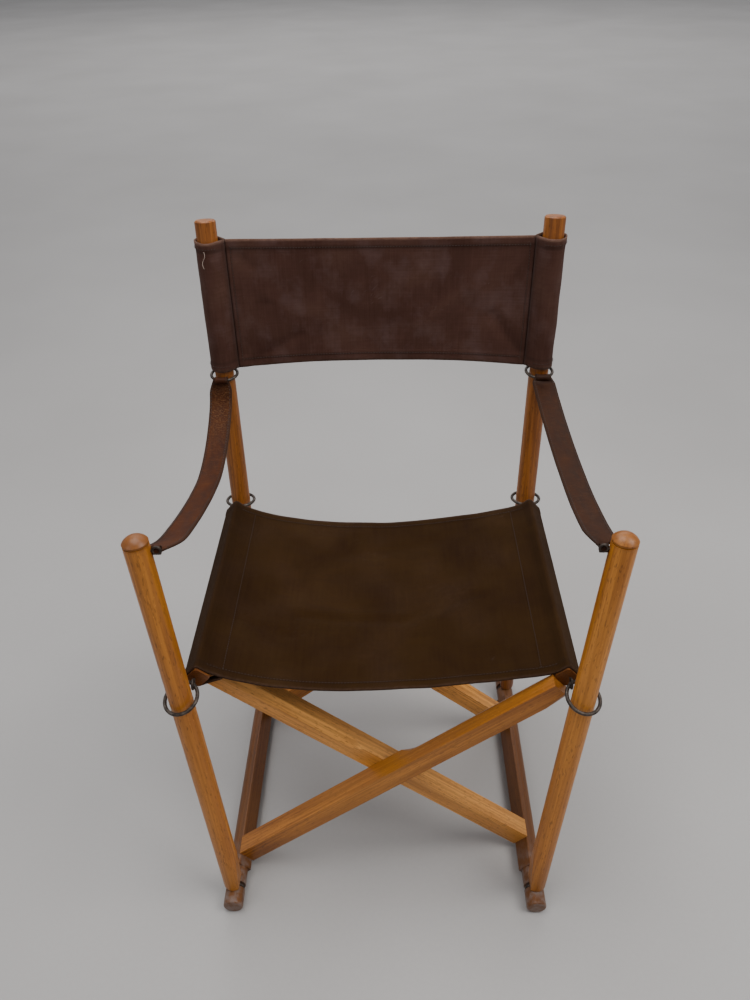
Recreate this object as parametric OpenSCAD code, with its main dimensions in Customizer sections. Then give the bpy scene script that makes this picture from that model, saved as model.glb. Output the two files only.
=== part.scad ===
// Folding armchair: two crossing frames of square bars, four round posts,
// metal rings that slide on the posts, canvas seat and back, leather armrests.
// Millimetres, +Z up, the front of the chair faces -Y. The origin is on the floor.

/* [Overall] */
// Distance between the two floor rails, axis to axis
floor_spacing = 452; // [446:1:458]
// Distance between the two seat rails, axis to axis
seat_spacing = 470; // [464:1:476]
// Height of the seat rail axes above the floor
seat_height = 424; // [416:1:432]
// Distance from the front feet to the rear feet
foot_depth = 380; // [374:1:386]
// Height of the rear posts
back_height = 858; // [840:1:880]
// Height of the armrest caps on the front posts
arm_height = 664; // [645:1:680]

/* [Posts] */
// Diameter of the four round posts
post_d = 30; // [28:0.5:30]
// Outward splay of the front posts in degrees
front_splay = 3.7; // [3.5:0.1:3.9]
// Outward splay of the rear posts in degrees
rear_splay = 1.3; // [1.1:0.1:1.5]
// Backward lean of the front posts in degrees
front_lean = 4.7; // [4.5:0.1:4.8]
// Backward lean of the rear posts in degrees
rear_lean = 9; // [8.8:0.1:9.2]

/* [Frames] */
// Diameter of the turned ends of the floor rails
rail_end_d = 29; // [28:0.5:29]
// Depth of a cross bar from front to back
bar_depth = 28.6; // [26:0.1:28.6]
// Height of a cross bar across its length
bar_height = 28.5; // [26:0.5:29]
// Distance from the front feet to the front face of the front cross bars
front_bar_y = 43; // [43:1:45]
// Distance from the front feet to the front face of the rear cross bars
rear_bar_y = 292; // [285:1:294]

/* [Metalwork] */
// Inner diameter of the rings that slide on the posts
ring_inner_d = 39; // [38.6:0.1:39.6]
// Wire thickness of those rings
ring_wire = 4.8; // [4.4:0.1:5]

/* [Canvas and leather] */
// Thickness of the canvas
canvas_t = 2; // [1.5:0.1:2.2]
// How far the seat sags in the middle
seat_sag = 33; // [25:1:36]
// Height of the lower edge of the back
back_low = 646; // [642:1:655]
// Height of the upper edge of the back
back_high = 832; // [815:1:836]
// Width of a leather armrest
strap_w = 34; // [28:1:35]
// Thickness of a leather armrest
strap_t = 3; // [2.5:0.1:3.5]

/* [Hidden] */

$fn = 64;
eps = 0.01;
front = 0;
rear = 1;
wood = "peru";
canvas = "saddlebrown";
leather = "sienna";
metal = "dimgray";

// Floor and seat rail axes, and the slope of the cross bars between them
floor_flat = 0.3;
xf = floor_spacing / 2;
xs = seat_spacing / 2;
zf = rail_end_d / 2 - floor_flat;
zs = seat_height;
slope = atan((zs - zf) / (xf + xs));
bar_len = norm([xf + xs, zs - zf]);
pivot_z = zf + xf * tan(slope);

// Rails: section turned with the cross bars, corner radius, shoulders, neck for the foot eye
rail_a = 23;
rail_b = 26;
rail_r = 3;
rail_shift = 3.5;
shoulder = 28;
overhang = 30;
neck_d = 18;
neck_w = 7.5;
neck_room = 1.4;
seat_rail_front = 58.5;
seat_rail_rear = 412;

// Lower end of the posts: gap above the rail and bevel on the inner side
end_gap = 1.2;
bevel_depth = 6;
bevel_high = 78;

// Cross bars: gap where they cross, stopped chamfer, tenons and pivot pin
bar_gap = 0.5;
chamfer = 9.5;
chamfer_at = 74;
chamfer_r = 55;
relief_len = 34;
relief_depth = 4.4;
relief_high = 7.4;
tenon_r = 4.5;
tenon_len = 11;
tenon_fit = 0.05;
pin_r = 5;
pin_fit = 0.05;
pin_cover = 8;

// Screw eyes and rings
shank_fit = 0.05;
foot_eye_wire = 4.4;
foot_eye_r = neck_d / 2 + foot_eye_wire / 2 + 0.1;
foot_shank = 42;
rail_eye_wire = 2.6;
front_rail_eye_r = 6.3;
rear_rail_eye_r = 5.4;
rail_shank = 20;
ring_r = (ring_inner_d + ring_wire) / 2;
front_eye_y = 49.3;
front_eye_out = 3.2;
front_ring_turn = 230;
front_ring_tilt = 20;
rear_ring_tilt = 8;
arm_ring_r = 19.7;
arm_ring_wire = 4.4;
arm_ring_z = 636;
arm_eye_r = 4.4;
arm_eye_wire = 3;
arm_eye_drop = 21;

// Soft parts: room between the cloth and the wood, and where the seat starts and ends
cloth_gap = 0.4;
seat_front = 61;
seat_rear = 409;
bar_room = 1.2;
sheet_x = xs - 13;
sheet_top = 7.6;
left_arm_low = 552;
right_arm_low = 624;

// Splay, lean and foot of the front and rear posts
function splay(kind) = kind == front ? front_splay : rear_splay;
function lean(kind) = kind == front ? front_lean : rear_lean;
function foot_y(kind) = kind == front ? 0 : foot_depth;

// A post's axis at height z, on the left side x is minus post_x
function post_x(kind, z) = xf + (z - zf) * tan(splay(kind));
function post_y(kind, z) = foot_y(kind) + (z - zf) * tan(lean(kind));

// Length along a post's axis from its foot up to height z
function along(kind, z) = (z - zf) * norm([tan(splay(kind)), tan(lean(kind)), 1]);

// Front face of a cross bar: frame b is true for the bars that rise to the left
function bar_behind(pair, b) = (pair == front) == b;
function bar_y(pair, b) = (pair == front ? front_bar_y : rear_bar_y)
  + (bar_behind(pair, b) ? bar_depth + bar_gap : 0);

// Point and direction on a cubic curve through four control points
function curve(p, t) = p[0] * pow(1 - t, 3) + 3 * p[1] * t * pow(1 - t, 2)
  + 3 * p[2] * t * t * (1 - t) + p[3] * pow(t, 3);
function slope_of(p, t) = (p[1] - p[0]) * pow(1 - t, 2)
  + 2 * (p[2] - p[1]) * t * (1 - t) + (p[3] - p[2]) * t * t;
function beside(p, t, s) = curve(p, t)
  + s * [-slope_of(p, t)[1], slope_of(p, t)[0]] / norm(slope_of(p, t));

// The origin lies midway between the foremost and the rearmost points
rear_reach = post_y(rear, back_height) + post_d / 2 * cos(rear_lean) - 0.3;
mid_y = (rear_reach - overhang) / 2;

// Every part is drawn on the left or in the middle; this places or mirrors it
module side(right = false) {
  translate([0, -mid_y, 0]) mirror([right ? 1 : 0, 0, 0]) children();
}

// Puts a post, drawn upright on the origin, on its foot at the left
module on_post(kind) {
  tip = atan(tan(lean(kind)) * cos(splay(kind)));
  translate([-xf, foot_y(kind), zf]) rotate([-tip, -splay(kind), 0]) children();
}

module torus(r, wire) {
  rotate_extrude($fn = 72) translate([r, 0]) circle(d = wire, $fn = 32);
}

// Extrudes a shape drawn in x-z from y0 to y1
module along_y(y0, y1) {
  translate([0, y1, 0]) rotate([90, 0, 0]) linear_extrude(y1 - y0) children();
}

module rounded(a, b, r) {
  square([a - 2 * r, b], center = true);
  square([a, b - 2 * r], center = true);
  for (i = [-1, 1], j = [-1, 1]) {
    translate([i * (a / 2 - r), j * (b / 2 - r)]) circle(r = r);
  }
}

// ---- Posts ----

// Half outline of the cap: dome, overhanging edge, groove and bead
module cap_outline(len) {
  r = post_d / 2;
  dome_r = 18;
  square([r, len - 12]);
  translate([0, len - 12 - eps]) square([r - 1.4, 4]);
  translate([0, len - 10.2]) square([r - 0.1, 1.6]);
  intersection() {
    translate([0, len - dome_r]) circle(r = dome_r, $fn = 128);
    translate([0, len - 8.2]) square([r + 0.5, 20]);
  }
}

// Half outline of a rear post: shallow band for the armrest ring, chamfered top
module rear_outline(len) {
  r = post_d / 2;
  band = along(rear, arm_ring_z);
  difference() {
    square([r, len]);
    translate([r - 0.8, band - 5]) square([2, 10]);
    translate([r, len - 2]) rotate(45) square([4, 6]);
  }
}

module post(kind) {
  len = along(kind, kind == front ? arm_height : back_height);
  color(wood) difference() {
    on_post(kind) rotate_extrude($fn = 96) {
      if (kind == front) cap_outline(len);
      else rear_outline(len);
    }
    // level end just above the rail, bevel on the inner side, bores for the two eyes
    translate([-xf - 60, foot_y(kind) - 60, -40]) cube([120, 120, 40 + rail_end_d + end_gap]);
    on_post(kind) translate([post_d / 2 - bevel_depth, -30, rail_end_d / 2])
      rotate([0, atan(bevel_depth / bevel_high), 0]) translate([0, 0, -60]) cube([30, 60, 200]);
    on_post(kind) cylinder(d = foot_eye_wire + 2 * shank_fit, h = foot_shank);
    if (kind == front) on_post(front) translate([0, 0, len - arm_eye_drop])
      rotate([0, 90, 0]) cylinder(d = arm_eye_wire + 2 * shank_fit, h = post_d);
  }
}

// Screw eye round the neck of a floor rail, its shank goes up into the post
module foot_eye(kind) {
  color(metal) translate([-xf, foot_y(kind), zf]) rotate([90, 0, 0]) torus(foot_eye_r, foot_eye_wire);
  color(metal) on_post(kind) translate([0, 0, foot_eye_r])
    cylinder(d = foot_eye_wire, h = foot_shank - foot_eye_r - 1);
}

// ---- Rails ----

// Cuts for the tenons of the cross bars of one frame
module sockets(b, upper) {
  for (pair = [front, rear]) {
    y = tenon_y(pair, b, upper);
    translate([upper ? -xs : -xf, y, upper ? zs : zf]) rotate([0, upper ? 90 + slope : 90 - slope, 0])
      cylinder(r = tenon_r + tenon_fit, h = 40);
  }
}

// The tenon sits in the middle of the bar, or clear of the seat rail's front end
function tenon_y(pair, b, upper) = upper
  ? max(bar_y(pair, b) + bar_depth / 2, seat_rail_front + tenon_r + 2)
  : bar_y(pair, b) + bar_depth / 2;

// Floor rail drawn on the left, with the sockets of frame a or b
module floor_rail(b) {
  y_front = -overhang;
  y_rear = foot_depth + overhang;
  color(wood) difference() {
    union() {
      translate([-xf, 0, zf]) along_y(shoulder, foot_depth - shoulder)
        rotate(slope) translate([rail_shift, 0]) rounded(rail_a, rail_b, rail_r);
      translate([-xf, y_front, zf]) rotate([-90, 0, 0]) rotate_extrude($fn = 96)
        end_outline(rail_end_d / 2, y_rear - y_front);
    }
    // necks for the foot eyes, with room for the leaning shanks of the rear ones
    for (kind = [front, rear]) {
      w = neck_w + (kind == rear ? neck_room : 0);
      translate([-xf, foot_y(kind) - neck_w / 2 + w, zf]) rotate([90, 0, 0]) difference() {
        cylinder(d = rail_end_d + 4, h = w);
        translate([0, 0, -1]) cylinder(d = neck_d, h = w + 2);
      }
    }
    translate([-xf - 40, y_front - 10, -20]) cube([80, y_rear - y_front + 20, 20]);
    sockets(b, false);
  }
}

// Half outline of a round bar with rounded ends
module end_outline(r, len) {
  round_r = 3;
  square([r - round_r, len]);
  translate([0, round_r]) square([r, len - 2 * round_r]);
  for (z = [round_r, len - round_r]) {
    translate([r - round_r, z]) circle(r = round_r);
  }
}

// Seat rail drawn on the left, with the sockets of frame a or b
module seat_rail(b) {
  len = seat_rail_rear - seat_rail_front;
  color(wood) difference() {
    intersection() {
      translate([-xs, 0, zs]) along_y(seat_rail_front, seat_rail_rear)
        rotate(-slope) rounded(rail_a, rail_b, rail_r);
      translate([-xs, seat_rail_front, zs]) rotate([-90, 0, 0]) rotate_extrude($fn = 96)
        end_outline(16.6, len);
    }
    for (kind = [front, rear]) {
      y = kind == front ? seat_rail_front - 1 : seat_rail_rear - rail_shank + 1;
      translate([-eye_x(kind), y, zs]) rotate([-90, 0, 0])
        cylinder(d = rail_eye_wire + 2 * shank_fit, h = rail_shank);
    }
    sockets(b, true);
  }
}

// ---- Cross bars ----

// What the chamfer takes off, seen along its face: an arc that runs into a straight line
module chamfer_cut(len) {
  depth = chamfer / sqrt(2);
  steps = 12;
  sweep = acos(1 - (depth + 1) / chamfer_r);
  function at(a) = [-chamfer_r * sin(a), chamfer_r * (1 - cos(a)) - depth];
  polygon([
    for (i = [0:steps]) at(sweep * (1 - i / steps)),
    [len, -depth],
    [len, 4 * chamfer],
    [at(sweep)[0], 4 * chamfer]
  ]);
}

// Slanting cut on the lower outer edge of an upper end, which clears the post when folded
module post_relief(x1) {
  a = [x1 - relief_len, 0, -bar_height / 2];
  b = [x1, relief_depth, -bar_height / 2];
  c = [x1, 0, -bar_height / 2 + relief_high];
  n = cross(b - a, c - a) / norm(cross(b - a, c - a));
  u = (b - a) / norm(b - a);
  v = cross(n, u);
  multmatrix([[u[0], v[0], n[0], a[0]], [u[1], v[1], n[1], a[1]], [u[2], v[2], n[2], a[2]]])
    translate([-30, -40, 0]) cube([100, 80, 20]);
}
// A bar along +X from the floor rail's axis, the side that meets its mate faces +Y
module bar_blank(pair, b) {
  x0 = rail_shift + rail_a / 2;
  x1 = bar_len - rail_a / 2;
  start = xf / cos(slope) + chamfer_at;
  flip = bar_behind(pair, b);
  difference() {
    translate([x0, 0, -bar_height / 2]) cube([x1 - x0, bar_depth, bar_height]);
    // stopped chamfer on the upper half with a curved run-out
    translate([start, bar_depth, bar_height / 2]) rotate([45, 0, 0])
      linear_extrude(6 * chamfer, center = true) chamfer_cut(bar_len);
    if (pair == front && !b) post_relief(x1);
  }
  for (upper = [false, true]) {
    offset_y = tenon_y(pair, b, upper) - bar_y(pair, b);
    translate([upper ? x1 - 1 : x0 - tenon_len, flip ? bar_depth - offset_y : offset_y, 0])
      rotate([0, 90, 0]) cylinder(r = tenon_r, h = tenon_len + 1);
  }
}

// A bar rising to the right, from the left floor rail
module bar_rising(pair, b) {
  flip = bar_behind(pair, b);
  translate([-xf, bar_y(pair, b) + (flip ? bar_depth : 0), zf]) rotate([0, -slope, 0])
    mirror([0, flip ? 1 : 0, 0]) bar_blank(pair, b);
}

module cross_bar(pair, b) {
  bore_y = bar_behind(pair, b) ? bar_y(pair, b) - 1 : bar_y(pair, b) + pin_cover;
  color(wood) difference() {
    bar_rising(pair, b);
    translate([0, bore_y, pivot_z]) rotate([-90, 0, 0])
      cylinder(r = pin_r + pin_fit, h = bar_depth - pin_cover + 1);
  }
}

module pivot_pin(pair) {
  len = 2 * (bar_depth - pin_cover) + bar_gap - 2;
  y = bar_y(pair, pair != front) + pin_cover + 1;
  color(metal) translate([0, y, pivot_z]) rotate([-90, 0, 0]) cylinder(r = pin_r, h = len);
}

// ---- Metalwork ----

// The rear eye stands so that its ring lies round the rear post
ring_x = post_x(rear, zs - 3);
rear_eye_y = post_y(rear, zs - 3) - 2.75 - ring_r * cos(rear_ring_tilt);
function eye_y(kind) = kind == front ? front_eye_y : rear_eye_y;
function eye_r(kind) = kind == front ? front_rail_eye_r : rear_rail_eye_r;
function eye_x(kind) = kind == front ? xs + front_eye_out : xs;

// Screw eye in the end of a seat rail
module rail_eye(kind) {
  shank = kind == front ? seat_rail_front - front_eye_y : rear_eye_y - seat_rail_rear;
  color(metal) translate([-eye_x(kind), eye_y(kind), zs]) {
    rotate([0, 90, 0]) torus(eye_r(kind), rail_eye_wire);
    rotate([kind == front ? -90 : 90, 0, 0]) translate([0, 0, eye_r(kind)])
      cylinder(d = rail_eye_wire, h = shank + rail_shank - 3 - eye_r(kind));
  }
}

// Ring round a post, hanging in its eye
module seat_ring(kind) {
  turn = kind == front ? front_ring_turn : 90;
  tilt = kind == front ? front_ring_tilt : rear_ring_tilt;
  color(metal) translate([-eye_x(kind), eye_y(kind), zs]) rotate([0, tilt, turn])
    translate([ring_r, 0, 0]) torus(ring_r, ring_wire);
}

module armrest_ring() {
  at = [-post_x(rear, arm_ring_z), post_y(rear, arm_ring_z) - 1.8, arm_ring_z];
  color(metal) translate(at) rotate([4, 0, 0]) torus(arm_ring_r, arm_ring_wire);
}

// Small eye on the inner side of a front post, under its cap
module armrest_eye() {
  reach = post_d / 2 + arm_eye_r + arm_eye_wire / 2 + 0.4;
  color(metal) on_post(front) translate([0, 0, along(front, arm_height) - arm_eye_drop]) {
    translate([reach, 0, 0]) rotate([90, 0, 0]) torus(arm_eye_r, arm_eye_wire);
    rotate([0, 90, 0]) translate([0, 0, 2]) cylinder(d = arm_eye_wire, h = reach - arm_eye_r - 2);
  }
}

// ---- Leather and canvas ----

// Side view of an armrest: a band hanging between the rear ring and the front eye
module strap_outline(low) {
  path = [[449, 628], [400, low - 44], [240, low - 12], [64, arm_height - 26]];
  steps = 24;
  polygon([
    for (i = [0:steps]) beside(path, i / steps, strap_t / 2),
    for (i = [steps:-1:0]) beside(path, i / steps, -strap_t / 2)
  ]);
}

module armrest_strap(low) {
  color(leather) translate([-post_x(rear, arm_ring_z) - strap_w / 2, 0, 0])
    rotate([90, 0, 90]) linear_extrude(strap_w) strap_outline(low);
}

// Height of the seat's middle surface at x
function seat_z(x) = zs + sheet_top - seat_sag * (1 - pow(x / sheet_x, 2));

module seat_sheet() {
  steps = 32;
  half = canvas_t / 2;
  polygon([
    for (i = [-steps:steps]) [i / steps * sheet_x, seat_z(i / steps * sheet_x) + half],
    for (i = [steps:-1:-steps]) [i / steps * sheet_x, seat_z(i / steps * sheet_x) - half]
  ]);
}

// A seat rail's section at its place, larger by grow
module around_rail(right, grow) {
  mirror([right ? 0 : 1, 0]) translate([xs, zs]) rotate(slope)
    rounded(rail_a + 2 * grow, rail_b + 2 * grow, rail_r + grow);
}

// Room in the sleeves for the upper ends of the cross bars
module bar_pockets() {
  for (pair = [front, rear], b = [false, true]) {
    mirror([b ? 1 : 0, 0, 0]) translate([-xf, bar_y(pair, b) - bar_room, zf]) rotate([0, -slope, 0])
      translate([bar_len / 2, 0, -bar_height / 2 - bar_room])
        cube([bar_len / 2 - rail_a / 2 + 1, bar_depth + 2 * bar_room, bar_height + 2 * bar_room]);
  }
}

module seat_canvas() {
  color(canvas) difference() {
    union() {
      along_y(seat_front, seat_rear) seat_sheet();
      for (right = [false, true]) along_y(seat_front, seat_rear) around_rail(right, cloth_gap + canvas_t);
    }
    for (right = [false, true]) along_y(seat_front - 1, seat_rear + 1) around_rail(right, cloth_gap);
    bar_pockets();
  }
}

module backrest_canvas() {
  r_in = post_d / 2 + cloth_gap;
  color(canvas) intersection() {
    translate([-400, 300, back_low]) cube([800, 400, back_high - back_low]);
    difference() {
      union() {
        for (m = [0, 1]) mirror([m, 0, 0]) on_post(rear) cylinder(r = r_in + canvas_t, h = back_height);
        translate([0, foot_depth, zf]) rotate([-rear_lean, 0, 0])
          translate([-xf - 10, -canvas_t / 2, 500]) cube([2 * xf + 20, canvas_t, 400]);
      }
      for (m = [0, 1]) mirror([m, 0, 0]) on_post(rear) cylinder(r = r_in, h = back_height + 1);
    }
  }
}

// ---- Assembly: frame a rises to the right, frame b to the left ----

side() post(front);  // post_front_left
side(true) post(front);  // post_front_right
side() post(rear);  // post_rear_left
side(true) post(rear);  // post_rear_right
side() foot_eye(front);  // foot_eye_front_left
side(true) foot_eye(front);  // foot_eye_front_right
side() foot_eye(rear);  // foot_eye_rear_left
side(true) foot_eye(rear);  // foot_eye_rear_right
side() floor_rail(false);  // floor_rail_left
side(true) floor_rail(true);  // floor_rail_right
side() seat_rail(true);  // seat_rail_left
side(true) seat_rail(false);  // seat_rail_right
side() cross_bar(front, false);  // cross_bar_front_a
side(true) cross_bar(front, true);  // cross_bar_front_b
side() cross_bar(rear, false);  // cross_bar_rear_a
side(true) cross_bar(rear, true);  // cross_bar_rear_b
side() pivot_pin(front);  // pivot_pin_front
side() pivot_pin(rear);  // pivot_pin_rear
side() rail_eye(front);  // rail_eye_front_left
side(true) rail_eye(front);  // rail_eye_front_right
side() rail_eye(rear);  // rail_eye_rear_left
side(true) rail_eye(rear);  // rail_eye_rear_right
side() seat_ring(front);  // seat_ring_front_left
side(true) seat_ring(front);  // seat_ring_front_right
side() seat_ring(rear);  // seat_ring_rear_left
side(true) seat_ring(rear);  // seat_ring_rear_right
side() armrest_ring();  // armrest_ring_left
side(true) armrest_ring();  // armrest_ring_right
side() armrest_eye();  // armrest_eye_left
side(true) armrest_eye();  // armrest_eye_right
side() armrest_strap(left_arm_low);  // armrest_strap_left
side(true) armrest_strap(right_arm_low);  // armrest_strap_right
side() seat_canvas();
side() backrest_canvas();
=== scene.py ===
"""Looks of the folding armchair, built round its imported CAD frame. Lengths in metres."""

import math

import bmesh
import bpy
from mathutils import Matrix, Vector, noise


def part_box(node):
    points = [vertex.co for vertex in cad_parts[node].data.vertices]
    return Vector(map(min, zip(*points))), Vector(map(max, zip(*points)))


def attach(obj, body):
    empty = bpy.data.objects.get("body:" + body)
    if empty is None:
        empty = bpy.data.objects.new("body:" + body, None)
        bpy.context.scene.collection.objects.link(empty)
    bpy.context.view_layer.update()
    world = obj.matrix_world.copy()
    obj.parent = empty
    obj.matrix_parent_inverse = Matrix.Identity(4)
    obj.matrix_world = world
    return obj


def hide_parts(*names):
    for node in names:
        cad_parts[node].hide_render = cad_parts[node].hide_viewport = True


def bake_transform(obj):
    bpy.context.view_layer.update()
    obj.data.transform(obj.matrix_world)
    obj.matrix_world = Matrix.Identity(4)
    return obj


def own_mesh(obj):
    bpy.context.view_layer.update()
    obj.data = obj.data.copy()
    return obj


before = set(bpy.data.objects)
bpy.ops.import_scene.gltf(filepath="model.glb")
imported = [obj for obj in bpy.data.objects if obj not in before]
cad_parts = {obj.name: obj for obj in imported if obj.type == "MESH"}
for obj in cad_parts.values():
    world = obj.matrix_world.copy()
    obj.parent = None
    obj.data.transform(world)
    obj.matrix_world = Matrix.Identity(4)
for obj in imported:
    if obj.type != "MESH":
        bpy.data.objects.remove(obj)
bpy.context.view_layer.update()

# ---------------------------------------------------------------- design sizes
# Lengths here are in mm: x from the middle, y from the front feet, z from the floor.
MID_Y = 249.08                               # the frame's origin lies this far behind the front feet
SLOPE = math.radians(41.635)                 # of the cross bars and of the rails' section
FLOOR_X, FLOOR_Z = 226.0, 14.2               # axes of the floor rails
RAIL_X, RAIL_Z = 235.0, 424.0                # axes of the seat rails
HALF_A, HALF_B, ROUND = 11.5, 13.0, 3.0      # a seat rail's half sides and edge radius
LEAN, SPLAY = math.radians(9.0), math.radians(1.3)   # of the rear posts, backwards and outwards
FOOT_REAR = 380.0                            # the rear posts' feet
SEAT_FRONT, SEAT_REAR = 61.0, 409.0          # the seat canvas along y
SHEET_X, SEAM_X = 194.0, 203.0               # where the hanging sheet starts, and its sleeves' seams
BACK_LOW, BACK_HIGH = 646.0, 832.0           # the back canvas along z
SEAM, SLEEVE = 21.5, 17.1                    # from a rear post's axis: the sleeve's seam and its cloth
SEAT_HEM, SLEEVE_HEM, PANEL_HEM = 13.0, 12.0, 12.5
CLEAR = 1.25                                 # from a rail to the middle of the cloth round it
SINGLE, DOUBLE, SLEEVE_DOUBLE = 0.0015, 0.0028, 0.0025   # the cloth and its hems, this one in metres


def place(x, y, z):
    """A point given in mm from the front feet, in the frame's metres."""
    return Vector((x / 1000, (y - MID_Y) / 1000, z / 1000))


def wave(x, y, z=0.0, seed=0.0):
    """Smooth noise between -1 and 1."""
    return noise.noise(Vector((x + 17.3 * seed, y - 9.1 * seed, z + 3.7 * seed)))


def mix(a, b, t):
    """The value a part t of the way from a to b."""
    return a + (b - a) * t


def smooth(t):
    """Eases from 0 to 1, and stays there outside that range."""
    t = min(1.0, max(0.0, t))
    return t * t * (3 - 2 * t)


def peak(x, width):
    """A smooth rise to 1 at x = 0."""
    return math.exp(-(x / width) ** 2)


def nearest(values, target):
    """Index of the value closest to the target."""
    return min(range(len(values)), key=lambda i: abs(values[i] - target))


def measure(points):
    """Distance of each point from the first, along the path."""
    out = [0.0]
    for a, b in zip(points, points[1:]):
        out.append(out[-1] + (b - a).length)
    return out


def tint(color, factors):
    """A colour with each channel scaled."""
    return tuple(k * t for k, t in zip(factors, color))


def hand(side):
    """The word for a side, which is -1 or 1."""
    return "right" if side > 0 else "left"


# ---------------------------------------------------------------- node helpers
class Graph:
    """Short names for building a material's nodes."""

    def __init__(self, name):
        self.mat = bpy.data.materials.new(name)
        self.mat.use_nodes = True
        self.tree = self.mat.node_tree
        self.bsdf = self.tree.nodes["Principled BSDF"]

    def node(self, kind, inputs=None, **props):
        """A new node, with its sockets fed and its settings made."""
        n = self.tree.nodes.new(kind)
        for k, v in props.items():
            setattr(n, k, v)
        for k, v in (inputs or {}).items():
            self.feed(n.inputs[k], v)
        return n

    def feed(self, socket, value):
        """Links another node's socket, or sets a plain value."""
        if isinstance(value, bpy.types.NodeSocket):
            self.tree.links.new(value, socket)
        else:
            socket.default_value = value

    def mapped(self, vector, **mapping):
        """A vector moved, turned or scaled."""
        return self.node("ShaderNodeMapping", {"Vector": vector, **mapping}).outputs[0]

    def coords(self, kind="Object", turn=(0, 0, 0), scale=(1, 1, 1)):
        """Texture coordinates, turned first and then scaled."""
        c = self.node("ShaderNodeTexCoord").outputs[kind]
        if any(turn):
            c = self.mapped(c, Rotation=turn)
        return self.mapped(c, Scale=scale)

    def noise(self, vector, scale, detail=3.0, rough=0.5, warp=0.0):
        return self.node("ShaderNodeTexNoise", {"Vector": vector, "Scale": scale, "Detail": detail,
                                                "Roughness": rough, "Distortion": warp}).outputs[0]

    def cells(self, vector, scale, feature="F1"):
        return self.node("ShaderNodeTexVoronoi", {"Vector": vector, "Scale": scale},
                         feature=feature).outputs[0]

    def bands(self, vector, scale, axis="X", warp=0.0):
        return self.node("ShaderNodeTexWave", {"Vector": vector, "Scale": scale, "Distortion": warp,
                                               "Detail": 2.0}, bands_direction=axis).outputs[1]

    def ramp(self, fac, low, high, a=0.0, b=1.0):
        """Maps fac from low..high to a..b, clamped."""
        return self.node("ShaderNodeMapRange", {"Value": fac, "From Min": low, "From Max": high,
                                                "To Min": a, "To Max": b}).outputs[0]

    def math(self, op, a, b=0.0):
        """One sum of two numbers or sockets."""
        n = self.node("ShaderNodeMath", operation=op)
        self.feed(n.inputs[0], a)
        self.feed(n.inputs[1], b)
        return n.outputs[0]

    def product(self, a, b):
        return self.math("MULTIPLY", a, b)

    def blend(self, fac, a, b):
        """Colour a turned into colour b where fac is 1."""
        n = self.node("ShaderNodeMix", data_type="RGBA", blend_type="MIX")
        for socket, v in ((0, fac), (6, a), (7, b)):
            if isinstance(v, (tuple, list)):
                v = (*v, 1.0)
            self.feed(n.inputs[socket], v)
        return n.outputs[2]

    def attribute(self, name):
        """A number kept on the mesh's points, such as wear."""
        return self.node("ShaderNodeAttribute", attribute_name=name).outputs["Fac"]

    def finish(self, color, rough, height=None, depth=0.0005, strength=1.0, **fixed):
        """Feeds the shader; fixed gives its other sockets, with _ for a space."""
        self.feed(self.bsdf.inputs["Base Color"], color)
        self.feed(self.bsdf.inputs["Roughness"], rough)
        if height is not None:
            bump = self.node("ShaderNodeBump", {"Height": height, "Distance": depth,
                                                "Strength": strength})
            self.feed(self.bsdf.inputs["Normal"], bump.outputs[0])
        for k, v in fixed.items():
            self.bsdf.inputs[k.replace("_", " ")].default_value = v
        return self.mat


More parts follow.
